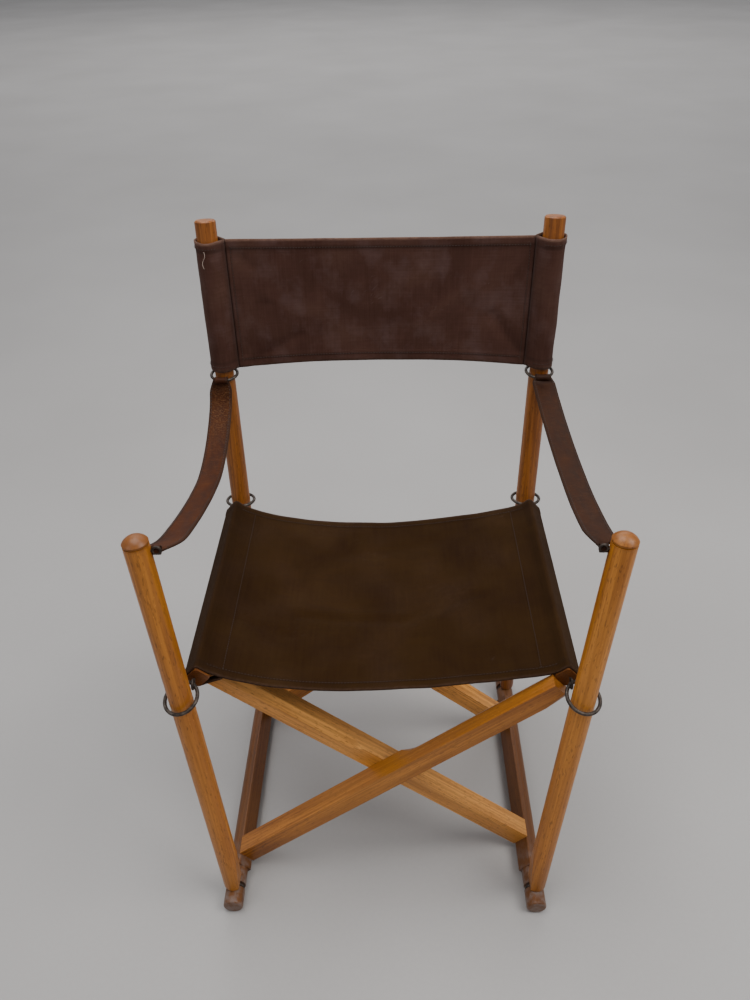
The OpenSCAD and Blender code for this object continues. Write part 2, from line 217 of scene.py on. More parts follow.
# ---------------------------------------------------------------- materials
def wood(name, turn=(0, 0, 0), tone=(0.40, 0.145, 0.022), seed=0.0, streaks=0.5, grime=0.0, cap=0.0):
    """Oiled beech; turn brings the grain onto the texture's Z axis.
    streaks darkens the grain, grime greys the front feet, and cap reddens the front posts' domes."""
    g = Graph(name)
    world = g.node("ShaderNodeTexCoord").outputs["Object"]
    grain = g.mapped(world, Rotation=turn) if any(turn) else world
    grain = g.mapped(grain, Location=(seed, 1.7 * seed, 0.3 * seed))
    bands = g.noise(g.mapped(grain, Scale=(55, 55, 2.2)), 1.0, 4.0, 0.55, 0.6)
    fine = g.noise(g.mapped(grain, Scale=(330, 330, 7)), 1.0, 3.0, 0.6)
    fleck = g.noise(g.mapped(grain, Scale=(520, 520, 95)), 1.0, 1.0, 0.5)
    cloud = g.noise(g.mapped(grain, Scale=(9, 9, 3)), 1.0, 3.0, 0.5)
    spots = g.cells(g.mapped(grain, Scale=(1, 1, 0.6)), 210)
    light = tint(tone, (1.28, 1.36, 1.5))
    pale = tint(tone, (1.45, 1.75, 2.4))
    dark = tint(tone, (0.66, 0.58, 0.5))
    deep = tint(tone, (0.42, 0.34, 0.3))
    color = g.blend(g.ramp(bands, 0.30, 0.72), dark, light)
    color = g.blend(g.ramp(fine, 0.42, 0.62, 0.0, streaks), color, deep)
    color = g.blend(g.ramp(fleck, 0.60, 0.70, 0.0, 0.7), color, tint(deep, (0.6, 0.6, 0.6)))
    color = g.blend(g.ramp(cloud, 0.38, 0.7, 0.0, 0.3), color, pale)
    color = g.blend(g.ramp(spots, 0.17, 0.08, 0.0, 0.24), color, tint(tone, (1.9, 2.4, 3.5)))
    z = g.node("ShaderNodeSeparateXYZ", {"Vector": world}).outputs["Z"]
    foot = g.product(g.ramp(z, 0.10, 0.0), g.ramp(cloud, 0.3, 0.6, 0.5, 1.0))
    color = g.blend(g.product(foot, 0.6), color, (0.10, 0.045, 0.016))
    if cap:
        color = g.blend(g.ramp(z, 0.650, 0.657, 0.0, cap), color, (0.14, 0.045, 0.008))
    if grime:
        y = g.node("ShaderNodeSeparateXYZ", {"Vector": world}).outputs["Y"]
        dust = g.ramp(g.noise(world, 75, 4.0, 0.6), 0.42, 0.60)
        color = g.blend(g.product(dust, g.ramp(y, -0.17, -0.23, 0.0, grime)), color, (0.17, 0.125, 0.105))
    height = g.math("ADD", g.product(fine, 0.7), g.product(bands, 0.4))
    rough = g.ramp(g.math("ADD", cloud, g.product(fine, 0.3)), 0.4, 0.9, 0.30, 0.5)
    return g.finish(color, rough, height, 0.0004, 0.35,
                    Coat_Weight=0.06, Coat_Roughness=0.3, Specular_IOR_Level=0.32)


def canvas(name, tone, grey, cool, chalk):
    """Heavy cotton twill on metric UVs, with scuffs and worn edges.
    tone sets its lightness, grey its faded patches, cool its blue, and chalk its light scuffs."""
    g = Graph(name)
    uv = g.coords("UV")
    warp = g.bands(uv, 560, "X")
    weft = g.bands(uv, 520, "Y")
    twill = g.bands(g.coords("UV", (0, 0, math.radians(38))), 330, "X", 0.4)
    along = g.noise(g.mapped(uv, Scale=(14, 420, 1)), 1.0, 2.0)
    across = g.noise(g.mapped(uv, Scale=(420, 14, 1)), 1.0, 2.0)
    patch = g.noise(g.mapped(uv, Scale=(9, 9, 1)), 1.0, 5.0, 0.62, 0.5)
    faded = g.noise(g.mapped(uv, Scale=(23, 17, 1)), 1.0, 4.0, 0.6)
    plain, cold = (tone, tone, tone), (tone, tone, tone * cool)
    dark, light = tint((0.040, 0.0150, 0.0085), cold), tint((0.062, 0.0270, 0.0165), cold)
    color = g.blend(g.ramp(patch, 0.36, 0.66), dark, light)
    color = g.blend(g.ramp(faded, 0.48, 0.70, 0.0, grey), color, tint((0.088, 0.052, 0.042), cold))
    color = g.blend(g.ramp(along, 0.35, 0.75, 0.0, 0.30), color, tint((0.030, 0.011, 0.006), plain))
    color = g.blend(g.ramp(across, 0.35, 0.75, 0.0, 0.22), color, tint((0.085, 0.042, 0.027), cold))
    scuff_place = g.ramp(g.noise(g.mapped(uv, Scale=(11, 15, 1)), 1.0, 2.0), 0.56, 0.66)
    scuff_line = g.ramp(g.noise(g.coords("UV", (0, 0, 0.9), (120, 30, 1)), 1.0, 4.0, 0.6, 2.5), 0.60, 0.72)
    color = g.blend(g.product(g.product(scuff_place, scuff_line), chalk), color, (0.24, 0.19, 0.17))
    worn = g.product(g.attribute("wear"), g.ramp(g.noise(uv, 160, 4.0, 0.7), 0.30, 0.62, 0.25, 1.0))
    color = g.blend(g.product(worn, 0.75), color, tint((0.15, 0.085, 0.058), plain))
    color = g.blend(g.product(g.attribute("seam"), 0.7), color, (0.012, 0.006, 0.004))
    height = g.math("ADD", g.product(warp, 0.25), g.product(weft, 0.25))
    height = g.math("ADD", height, g.product(twill, 0.5))
    height = g.math("ADD", height, g.product(g.noise(uv, 900, 2.0), 0.5))
    shine = min(1.0, tone)
    return g.finish(color, g.ramp(faded, 0.3, 0.7, 0.80, 0.93), height, 0.0006, 0.45,
                    Sheen_Weight=0.03 * shine, Sheen_Roughness=0.5, Specular_IOR_Level=0.12 * shine)


def leather(name, warm):
    """Old strap leather, from dark (warm 0) to worn brown (warm 1), cracked where the mesh says."""
    g = Graph(name)
    uv = g.coords("UV")
    patch = g.noise(g.mapped(uv, Scale=(30, 14, 1)), 1.0, 5.0, 0.65, 0.4)
    fine = g.noise(g.mapped(uv, Scale=(260, 120, 1)), 1.0, 3.0, 0.6)
    cross = g.noise(g.mapped(uv, Scale=(60, 200, 1)), 1.0, 4.0, 0.65, 1.5)
    cells = g.cells(uv, 900)
    dark = (0.013 + 0.012 * warm, 0.0050 + 0.0008 * warm, 0.0022 - 0.001 * warm)
    light = (0.026 + 0.038 * warm, 0.0105 + 0.0060 * warm, 0.0048 - 0.002 * warm)
    rubbed = (0.036 + 0.05 * warm, 0.016 + 0.012 * warm, 0.007)
    color = g.blend(g.ramp(patch, 0.34, 0.66), dark, light)
    color = g.blend(g.ramp(cross, 0.50, 0.68, 0.0, 0.45), color, rubbed)
    color = g.blend(g.ramp(fine, 0.62, 0.74, 0.0, 0.25 + 0.3 * warm), color, (0.10, 0.048, 0.018))
    flakes = g.ramp(g.noise(g.mapped(uv, Scale=(260, 520, 1)), 1.0, 5.0, 0.75), 0.50, 0.60)
    color = g.blend(g.product(g.product(g.attribute("crack"), flakes), 0.4), color, (0.17, 0.085, 0.032))
    color = g.blend(g.product(g.attribute("wear"), 0.8), color, (0.030, 0.014, 0.008))
    height = g.math("ADD", g.product(cells, 0.5), g.product(cross, 0.8))
    return g.finish(color, g.ramp(patch, 0.3, 0.7, 0.5, 0.72), height, 0.0006, 0.5, Specular_IOR_Level=0.12)


def iron(name):
    """Wire darkened by age, rubbed brighter in places."""
    g = Graph(name)
    c = g.coords("Object")
    rubbed = g.noise(c, 180, 4.0, 0.6)
    rust = g.noise(c, 900, 2.0, 0.5)
    color = g.blend(g.ramp(rubbed, 0.40, 0.66), (0.022, 0.015, 0.011), (0.085, 0.066, 0.052))
    color = g.blend(g.ramp(rust, 0.60, 0.72, 0.0, 0.6), color, (0.10, 0.045, 0.022))
    return g.finish(color, g.ramp(rubbed, 0.35, 0.7, 0.62, 0.42), rust, 0.0003, 0.4, Metallic=0.45)


def thread(name):
    """Dark sewing thread with its twist."""
    g = Graph(name)
    c = g.coords("Object")
    color = g.blend(g.noise(c, 1500, 1.0), (0.020, 0.010, 0.007), (0.05, 0.028, 0.02))
    return g.finish(color, 0.8, g.bands(c, 900, "X", 1.0), 0.0002, 0.5)


def pale_floor():
    """A plain pale studio floor, faintly mottled."""
    g = Graph("floor")
    c = g.coords("Object")
    wide = g.noise(c, 1.3, 3.0)
    grit = g.noise(c, 140, 3.0, 0.6)
    color = g.blend(g.ramp(wide, 0.3, 0.7), (0.33, 0.315, 0.305), (0.37, 0.355, 0.345))
    color = g.blend(g.ramp(grit, 0.35, 0.65, 0.0, 0.12), color, (0.30, 0.29, 0.28))
    return g.finish(color, 0.62, grit, 0.0004, 0.15)


METAL = iron("aged_iron")
CANVAS_BACK = canvas("canvas_back", 1.12, 0.62, 1.15, 0.22)
CANVAS_SEAT = canvas("canvas_seat", 0.47, 0.08, 0.35, 0.06)
THREAD = thread("thread")
# Turns that lay the grain along each kind of piece, and the wood's tones.
BAR_A = (0, SLOPE - math.pi / 2, 0)
BAR_B = (0, math.pi / 2 - SLOPE, 0)
ALONG_Y = (math.pi / 2, 0, 0)
# The second tone is the first made lighter with painted light, for the b bars' lit faces.
HONEY, AMBER_PAINTED_LIGHT = (0.43, 0.150, 0.018), (0.64, 0.270, 0.052)
# The first tone here is a reddish brown darkened with painted shade, for the rear posts that stand back in
# shade.
# The second tone here is a dark brown with painted shade in it, for the seat rails under the canvas and the
# floor rails under the chair.
REAR_POST_PAINTED_SHADOW, RAIL_PAINTED_SHADOW = (0.25, 0.078, 0.011), (0.15, 0.048, 0.009)
PAINT = {
    "post_front_left": wood("wood_post_fl", (0.08, 0.06, 0), HONEY, 1.0, 0.55, cap=0.85),
    "post_front_right": wood("wood_post_fr", (0.08, -0.06, 0), HONEY, 2.0, 0.55, cap=0.6),
    # Rear posts: their tone carries painted shade.
    "post_rear_left": wood("wood_post_rl", (0.15, 0, 0), REAR_POST_PAINTED_SHADOW, 3.0, 0.8),
    "post_rear_right": wood("wood_post_rr", (0.15, 0, 0), REAR_POST_PAINTED_SHADOW, 4.0, 0.8),
    # Floor and seat rails: their tone carries painted shade; grime adds real dust at the floor rails' front
    # ends.
    "floor_rail_left": wood("wood_floor_rail_l", ALONG_Y, RAIL_PAINTED_SHADOW, 5.0, 0.6, 0.75),
    "floor_rail_right": wood("wood_floor_rail_r", ALONG_Y, RAIL_PAINTED_SHADOW, 6.0, 0.6, 0.75),
    "seat_rail_left": wood("wood_seat_rail_l", ALONG_Y, RAIL_PAINTED_SHADOW, 7.0, 0.5),
    "seat_rail_right": wood("wood_seat_rail_r", ALONG_Y, RAIL_PAINTED_SHADOW, 8.0, 0.5),
    "cross_bar_front_a": wood("wood_bar_fa", BAR_A, HONEY, 9.0, 0.75),
    "cross_bar_rear_a": wood("wood_bar_ra", BAR_A, HONEY, 10.0, 0.75),
    # B bars: their tone carries painted light.
    "cross_bar_front_b": wood("wood_bar_fb", BAR_B, AMBER_PAINTED_LIGHT, 11.0, 0.6),
    "cross_bar_rear_b": wood("wood_bar_rb", BAR_B, AMBER_PAINTED_LIGHT, 12.0, 0.6),
}
for name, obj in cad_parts.items():
    obj.data.materials.clear()
    obj.data.materials.append(PAINT.get(name, METAL))


# ---------------------------------------------------------------- mesh helpers
def build(name, verts, faces, mat, attributes=None, uvs=None):
    """A smooth-shaded object from points and faces, with numbers and UVs kept on its points."""
    mesh = bpy.data.meshes.new(name)
    mesh.from_pydata([tuple(v) for v in verts], [], faces)
    mesh.validate()
    mesh.polygons.foreach_set("use_smooth", [True] * len(mesh.polygons))
    for key, values in (attributes or {}).items():
        layer = mesh.attributes.new(key, "FLOAT", "POINT")
        layer.data.foreach_set("value", values)
    if uvs:
        layer = mesh.uv_layers.new(name="uv")
        for loop in mesh.loops:
            layer.data[loop.index].uv = uvs[loop.vertex_index]
    mesh.materials.append(mat)
    obj = bpy.data.objects.new(name, mesh)
    bpy.context.scene.collection.objects.link(obj)
    return obj


def drop_loose(obj):
    """Deletes the points that no face uses, and turns all faces outwards."""
    bm = bmesh.new()
    bm.from_mesh(obj.data)
    bmesh.ops.delete(bm, geom=[v for v in bm.verts if not v.link_faces], context="VERTS")
    bmesh.ops.recalc_face_normals(bm, faces=bm.faces)
    bm.to_mesh(obj.data)
    bm.free()


def nothing(r, c):
    """No seam anywhere."""
    return 0.0


def cloth(name, grid, mat, thick, wear, seam=nothing, skip=None, crack=None):
    """A sheet with thickness from a grid of points [row][column], with its UVs in metres.
    thick, wear, seam and crack are functions of (row, column); skip(row, column) leaves a face out."""
    rows, cols = len(grid), len(grid[0])
    spots = [(r, c) for r in range(rows) for c in range(cols)]
    count = len(spots)
    width = measure(grid[rows // 2])
    length = measure([row[cols // 2] for row in grid])
    normals = []
    for r, c in spots:
        across = grid[r][min(c + 1, cols - 1)] - grid[r][max(c - 1, 0)]
        along = grid[min(r + 1, rows - 1)][c] - grid[max(r - 1, 0)][c]
        normals.append(across.cross(along).normalized())
    verts = []
    for half in (0.5, -0.5):
        for (r, c), normal in zip(spots, normals):
            verts.append(grid[r][c] + normal * (half * thick(r, c)))
    faces, rim = [], {}
    for r in range(rows - 1):
        for c in range(cols - 1):
            if skip and skip(r, c):
                continue
            i = r * cols + c
            quad = (i, i + 1, i + 1 + cols, i + cols)
            faces.append(quad)
            faces.append(tuple(count + k for k in reversed(quad)))
            for a, b in zip(quad, quad[1:] + quad[:1]):
                if (b, a) in rim:
                    del rim[(b, a)]
                else:
                    rim[(a, b)] = True
    for a, b in rim:
        faces.append((b, a, count + a, count + b))
    kinds = {"wear": wear, "seam": seam}
    if crack:
        kinds["crack"] = crack
    attributes = {key: [f(r, c) for r, c in spots] * 2 for key, f in kinds.items()}
    obj = build(name, verts, faces, mat, attributes, [(width[c], length[r]) for r, c in spots] * 2)
    drop_loose(obj)
    return obj


def tube(verts, faces, rings):
    """Adds a closed tube through rings of points to verts and faces."""
    base, sides = len(verts), len(rings[0])
    for ring in rings:
        verts.extend(ring)
    for i in range(len(rings) - 1):
        for q in range(sides):
            a, b = base + i * sides + q, base + i * sides + (q + 1) % sides
            faces.append((a, b, b + sides, a + sides))
    top = base + (len(rings) - 1) * sides
    faces.append(tuple(base + q for q in reversed(range(sides))))
    faces.append(tuple(top + q for q in range(sides)))


def stitch_rings(at, along, out, long, wide):
    """The rings of one stitch: a short spindle along the cloth, a little raised in its middle."""
    rings, sides, steps = [], 6, 4
    across = along.cross(out)
    for k in range(steps + 1):
        u = -1 + 2 * k / steps
        r = wide * math.sqrt(max(0.05, 1 - u * u * 0.95)) / 1.6
        lift = 0.00035 * (1 - u * u)
        ring = []
        for q in range(sides):
            turn = q / sides * 2 * math.pi
            rise = out * (lift + r * math.sin(turn))
            ring.append(at + along * (u * long / 2) + rise + across * (r * math.cos(turn)))
        rings.append(ring)
    return rings


def stitches(name, runs, mat, pitch=0.0042, long=0.0028, wide=0.0008):
    """Thread stitches along runs of (points, normals)."""
    verts, faces = [], []
    for points, normals in runs:
        at, target = 0.0, pitch / 2
        for i in range(1, len(points)):
            step = points[i] - points[i - 1]
            size = step.length
            if size < 1e-7:
                continue
            while target <= at + size:
                t = (target - at) / size
                out = normals[i - 1].lerp(normals[i], t).normalized()
                tube(verts, faces, stitch_rings(points[i - 1] + step * t, step / size, out, long, wide))
                target += pitch
            at += size
    return build(name, verts, faces, mat)


def hem_line(d, hem, strength):
    """Darkening along the stitch line of a hem, at a distance d from the edge."""
    return strength * peak(d - hem, 1.8)


# ---------------------------------------------------------------- seat canvas
def rail_point(side, a, b):
    """Point at (a, b) on a seat rail's own axes: a outward along the bars, b square to them."""
    x = a * math.cos(SLOPE) - b * math.sin(SLOPE)
    z = a * math.sin(SLOPE) + b * math.cos(SLOPE)
    return side * (RAIL_X + x), RAIL_Z + z


def rail_wrap(side):
    """Cloth path round a rail, from its top over the outer side to the inner corner underneath."""
    ca, cb, r = HALF_A - ROUND, HALF_B - ROUND, ROUND + CLEAR
    steps = 6
    path = [rail_point(side, a, HALF_B + CLEAR) for a in (1.0, 4.0)]
    for (sa, sb, lo, hi) in ((1, 1, 90, 0), (1, -1, 0, -90), (-1, -1, -90, -118)):
        for i in range(steps + 1):
            turn = math.radians(mix(lo, hi, i / steps))
            path.append(rail_point(side, sa * ca + r * math.cos(turn), sb * cb + r * math.sin(turn)))
    return path


def off_rail(side, y, v):
    """Soft bend from a rail's top into the hanging sheet, as a curve through a corner point."""
    x0, z0 = rail_point(side, 1.0, HALF_B + CLEAR)
    xk, zk = rail_point(side, ROUND - HALF_A, HALF_B + CLEAR)
    x1 = side * SHEET_X
    z1 = seat_shape(x1, y, v)
    steps = 9
    out = []
    for i in range(1, steps):
        t = i / steps
        out.append((x0 * (1 - t) ** 2 + 2 * xk * t * (1 - t) + x1 * t * t,
                    z0 * (1 - t) ** 2 + 2 * zk * t * (1 - t) + z1 * t * t))
    return out


def sag(x, v):
    """Height of the seat between the rails; v runs from 0 at the front to 1 at the back."""
    low_x = mix(-38.0, -20.0, v)
    low_z = mix(398.5, 395.5, v) - 5.0 * math.sin(math.pi * v)
    edge_x, edge_z = 220.0, 429.3
    t = (x - low_x) / (math.copysign(edge_x, x - low_x) - low_x)
    power = mix(2.5, 1.75, smooth((x + 120) / 200))
    return low_z + (edge_z - low_z) * abs(t) ** power


def fold(x, y, x0, y0, x1, y1, wide, high):
    """A soft crease from (x0, y0) to (x1, y1), which stands high above the cloth or lies below it."""
    dx, dy = x1 - x0, y1 - y0
    t = ((x - x0) * dx + (y - y0) * dy) / (dx * dx + dy * dy)
    u = min(1.0, max(0.0, t))
    d = math.hypot(x - x0 - u * dx, y - y0 - u * dy)
    fade = smooth(min(t + 0.25, 1.25 - t) * 4)
    return high * fade * peak(d, wide)


# The seat's creases: both ends as x, y, then how wide and how high each is.
SEAT_CREASES = (
    (-118, 196, 30, 186, 9, -2.4),
    (-118, 208, 30, 198, 9, 1.6),
    (30, 186, 132, 226, 10, -2.0),
    (-205, 170, -120, 152, 8, -1.6),
    (150, 110, 214, 78, 12, -2.6),
    (-60, 330, 90, 352, 14, -1.6),
    (196, 380, 218, 240, 8, -1.8),
    (-190, 380, -215, 300, 8, -1.6),
)


def seat_shape(x, y, v):
    """Height of the seat with its slight waves and the creases that sitting has left."""
    z = sag(x, v)
    inside = smooth((205 - abs(x)) / 60)
    z += inside * (1.6 * wave(x / 90, y / 60, 0, 1) + 0.7 * wave(x / 38, y / 26, 0, 2))
    for crease in SEAT_CREASES:
        z += fold(x, y, *crease)
    return z


def bar_spans(kind):
    """Where the front and the rear bar of one kind stand along y."""
    boxes = [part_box("cross_bar_" + row + "_" + kind) for row in ("front", "rear")]
    return [(low[1] * 1000 + MID_Y, high[1] * 1000 + MID_Y) for low, high in boxes]


BARS = {-1: bar_spans("b"), 1: bar_spans("a")}
BAR_ROOM = 4.5           # the sleeve is cut away this far beside each bar
SEAT_ROWS, SEAT_COLUMNS = 88, 64      # the columns of the part between the rails
FLAP = 6                 # columns from a rail's underside to the seam
UNDER = FLAP + 8         # columns that a bar passes through
SIZE_ROW = 40            # the row whose length is the canvas's flat width


def bar_gap(side, y):
    """True where a cross bar comes up through the sleeve at this side."""
    return any(low - BAR_ROOM < y < high + BAR_ROOM for low, high in BARS[side])


def seat_path(y, v):
    """The seat's section as (x, z), from the left seam round both rails to the right seam."""
    halves = []
    for side in (-1, 1):
        wrap = rail_wrap(side)
        x0, z0 = wrap[-1]
        x1 = side * (SEAM_X + 1)
        z1 = seat_shape(x1, y, v) - 2.2
        flap = [(mix(x0, x1, t / FLAP), mix(z0, z1, t / FLAP)) for t in range(1, FLAP + 1)]
        halves.append(off_rail(side, y, v)[::-1] + wrap + flap)
    middle = [mix(-SHEET_X, SHEET_X, i / SEAT_COLUMNS) for i in range(SEAT_COLUMNS + 1)]
    return halves[0][::-1] + [(x, seat_shape(x, y, v)) for x in middle] + halves[1]


def make_seat():
    """The seat canvas and its stitches, with the width it was cut to."""
    rows = SEAT_ROWS
    ys = [mix(SEAT_FRONT, SEAT_REAR, r / rows) for r in range(rows + 1)]
    paths = [seat_path(y, r / rows) for r, y in enumerate(ys)]
    grid = []
    for r, path in enumerate(paths):
        ripple = 1.2 if r / rows < 0.06 else 0.0
        grid.append([place(x, ys[r] + ripple * wave(x / 45, 0.3, 0, 5), z) for x, z in path])
    cols = len(grid[0])
    first = FLAP + len(rail_wrap(1))
    last = cols - 1 - first

    def from_edge(r):
        return min(ys[r] - SEAT_FRONT, SEAT_REAR - ys[r])

    def thick(r, c):
        return DOUBLE if from_edge(r) < SEAT_HEM else SINGLE

    def wear(r, c):
        x, z = paths[r][c]
        edge = 0.8 * max(0.0, 1 - from_edge(r) / 4.0)
        on_top = FLAP <= c < cols - FLAP and z > RAIL_Z
        ridge = peak(abs(x) - 243, 6) * (0.45 if on_top else 0.1)
        return min(1.0, edge + ridge + 0.25 * max(0, wave(x / 60, ys[r] / 60, 0, 9)))

    def seam(r, c):
        line = hem_line(from_edge(r), SEAT_HEM, 0.55)
        if first <= c <= last:
            line = max(line, 0.12 * peak(abs(paths[r][c][0]) - SEAM_X, 2.0))
        return line

    def skip(r, c):
        side = 1 if c > cols / 2 else -1
        return (c < UNDER or c > cols - 2 - UNDER) and bar_gap(side, (ys[r] + ys[r + 1]) / 2)

    obj = cloth("seat_cloth", grid, CANVAS_SEAT, thick, wear, seam, skip)
    up = Vector((0, 0, 1))
    runs = []
    for y in (SEAT_FRONT + SEAT_HEM - 1.5, SEAT_REAR - SEAT_HEM + 1.5):
        r = nearest(ys, y)
        points = [p + up * 0.0016 for p in grid[r][first:last + 1]]
        runs.append((points, [up] * len(points)))
    for side in (-1, 1):
        points = []
        for r in range(3, rows - 2):
            c = first + nearest([x for x, z in paths[r][first:last + 1]], side * SEAM_X)
            points.append(grid[r][c] + up * 0.0009)
        runs.append((points, [up] * len(points)))
    return obj, stitches("seat_stitches", runs, THREAD), measure(grid[SIZE_ROW])[-1]


seat, seat_thread, seat_w = make_seat()
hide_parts("seat_canvas")
for piece in (seat, seat_thread):
    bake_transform(piece)


# ---------------------------------------------------------------- back canvas
# The back's creases: both ends as x, z, then how wide and how high each is.
BACK_CREASES = (
    (-205, 665, -170, 740, 9, 2.0),
    (-196, 652, -120, 690, 8, 1.6),
    (205, 665, 165, 720, 9, 2.2),
    (60, 700, 130, 760, 12, -1.2),
    (-214, 815, -180, 790, 8, 1.2),
)


def post_axis(z):
    """Axis of the right rear post at a height, as (x, y)."""
    return FLOOR_X + (z - FLOOR_Z) * math.tan(SPLAY), FOOT_REAR + (z - FLOOR_Z) * math.tan(LEAN)


def between(a, b, parts):
    """Points from a to b, without b."""
    return [(mix(a[0], b[0], t / parts), mix(a[1], b[1], t / parts)) for t in range(parts)]


def sleeve_path(side, z, v):
    """Loop round a post, from the seam over the front to the back and to the seam again."""
    ax, ay = post_axis(z)
    loose = 0.5 + 0.7 * wave(side * 2.0, v * 5, 0, 3) + 0.5 * smooth((v - 0.9) / 0.1)
    r = SLEEVE + max(0.0, loose)
    start = math.degrees(math.acos(min(1.0, r / (SEAM + 4))))
    around = []
    steps = 40
    for i in range(steps + 1):
        turn = math.radians(mix(start, 360 - start, i / steps))
        out = r + 0.35 * wave(i / 4.0, v * 6, 0, 4 + side)
        around.append((side * (ax - out * math.cos(turn)), ay - out * math.sin(turn)))
    seam_x = side * (ax - SEAM - 2)
    front, rear = (seam_x, ay - 1.6), (seam_x, ay + 1.6)
    return between(front, around[0], 4) + around + between(around[-1], rear, 4)[1:] + [rear]


BACK_SIZE_ROW = 20       # the row whose length is a piece's flat width
SLEEVE_ROWS, PANEL_ROWS, PANEL_COLUMNS = 44, 46, 110


def back_levels(rows):
    """Heights of the rows of a piece of the back."""
    return [mix(BACK_LOW, BACK_HIGH, r / rows) for r in range(rows + 1)]


def back_edge(z):
    """Distance from the nearer hem's edge."""
    return min(z - BACK_LOW, BACK_HIGH - z)


def make_sleeve(side):
    """One sleeve with the stitches of its hems, and the width it was cut to."""
    levels = back_levels(SLEEVE_ROWS)
    grid = []
    for r, z in enumerate(levels):
        ripple = 1.0 if r in (0, SLEEVE_ROWS) else 0.0
        path = enumerate(sleeve_path(side, z, r / SLEEVE_ROWS))
        grid.append([place(x, y, z + ripple * wave(c / 7, 0.5, 0, side)) for c, (x, y) in path])
    cols = len(grid[0])

    def thick(r, c):
        return SLEEVE_DOUBLE if back_edge(levels[r]) < SLEEVE_HEM else SINGLE

    def wear(r, c):
        rubbed = 0.9 * max(0, 1 - back_edge(levels[r]) / 4.5)
        return min(1.0, rubbed + 0.25 * max(0, wave(c / 6, levels[r] / 40, 0, 6)))

    def seam(r, c):
        return max(hem_line(back_edge(levels[r]), SLEEVE_HEM, 0.6), 0.35 if c < 2 or c > cols - 3 else 0.0)

    obj = cloth("back_sleeve_" + hand(side), grid, CANVAS_BACK, thick, wear, seam)
    runs = []
    for z in (BACK_LOW + SLEEVE_HEM - 1.5, BACK_HIGH - SLEEVE_HEM + 1.5):
        r = nearest(levels, z)
        ax, ay = post_axis(levels[r])
        points, normals = [], []
        for p in grid[r][4:-4]:
            out = p - place(side * ax, ay, levels[r])
            out.z = 0
            out.normalize()
            points.append(p + out * 0.0015)
            normals.append(out)
        runs.append((points, normals))
    sewn = stitches("back_sleeve_stitches_" + hand(side), runs, THREAD)
    return obj, sewn, measure(grid[BACK_SIZE_ROW])[-1]


def back_panel_point(u, v):
    """u from the left seam to the right one, v from the lower edge to the upper."""
    z = mix(BACK_LOW, BACK_HIGH, v)
    arch = smooth(4 * u * (1 - u))
    rise = (7.0 * arch - 0.5) * (1 - v) ** 2 - 1.2 * arch * v * v
    ax, ay = post_axis(z)
    half = ax - SEAM - 1.5
    x = mix(-half, half, u)
    belly = 1 - (2 * u - 1) ** 2
    y = ay + 7.0 * belly * (1 - 0.7 * v)
    fade = smooth(min(u, 1 - u) * 14)
    y += fade * (1.5 * wave(x / 85, z / 60, 0, 11) + 0.7 * wave(x / 34, z / 30, 0, 12))
    for crease in BACK_CREASES:
        y += fold(x, z, *crease)
    return x, y, z + rise


def make_panel():
    """The sheet between the sleeves with its stitches, and the width it was cut to."""
    rows, cols = PANEL_ROWS, PANEL_COLUMNS
    grid = [[place(*back_panel_point(c / cols, r / rows)) for c in range(cols + 1)] for r in range(rows + 1)]
    levels = back_levels(rows)

    def thick(r, c):
        return DOUBLE if back_edge(levels[r]) < PANEL_HEM else SINGLE

    def wear(r, c):
        rubbed = 0.85 * max(0, 1 - back_edge(levels[r]) / 4.0)
        return min(1.0, rubbed + 0.2 * max(0, wave(c / cols * 7, r / 9, 0, 7)))

    def seam(r, c):
        from_side = min(c, cols - c) / cols * 430
        return max(hem_line(back_edge(levels[r]), PANEL_HEM, 0.55), 0.5 * peak(from_side, 1.6))

    obj = cloth("back_panel", grid, CANVAS_BACK, thick, wear, seam)
    forward = Vector((0, -math.cos(LEAN), math.sin(LEAN)))
    runs = []
    for z in (BACK_LOW + PANEL_HEM - 1.5, BACK_HIGH - PANEL_HEM + 1.5):
        points = [p + forward * 0.0016 for p in grid[nearest(levels, z)][2:-2]]
        runs.append((points, [forward] * len(points)))
    for c in (2, cols - 2):
        points = [grid[r][c] + forward * 0.0011 for r in range(2, rows - 1)]
        runs.append((points, [forward] * len(points)))
    return obj, stitches("back_panel_stitches", runs, THREAD), measure(grid[BACK_SIZE_ROW])[-1]


def loose_thread():
    """The light thread that hangs from the left sleeve's upper hem, as a thin tube."""
    rings, steps, sides, thin = [], 15, 6, 0.33
    for i in range(steps + 1):
        t = i / steps
        z = mix(821, 798, t)
        ax, ay = post_axis(z)
        off = -3.0 - 3.5 * t + 1.6 * math.sin(7 * t)
        x = off - ax
        y = ay - math.sqrt(19.3 ** 2 - off ** 2) - 0.9 - 0.6 * t
        turns = [q / sides * 2 * math.pi for q in range(sides)]
        rings.append([place(x + thin * math.cos(a), y + thin * math.sin(a), z) for a in turns])
    verts, faces = [], []
    tube(verts, faces, rings)
    light = Graph("light_thread").finish((0.42, 0.33, 0.27, 1.0), 0.8)
    return build("back_loose_thread", verts, faces, light)


panel, panel_thread, panel_w = make_panel()
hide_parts("backrest_canvas")
for piece in (panel, panel_thread):
    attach(piece, "rear_left_leg")
    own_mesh(piece)
for side in (-1, 1):
    sleeve, sleeve_thread, sleeve_w = make_sleeve(side)
    for piece in (sleeve, sleeve_thread):
        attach(piece, "rear_" + hand(side) + "_leg")
end = loose_thread()
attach(end, "rear_left_leg")


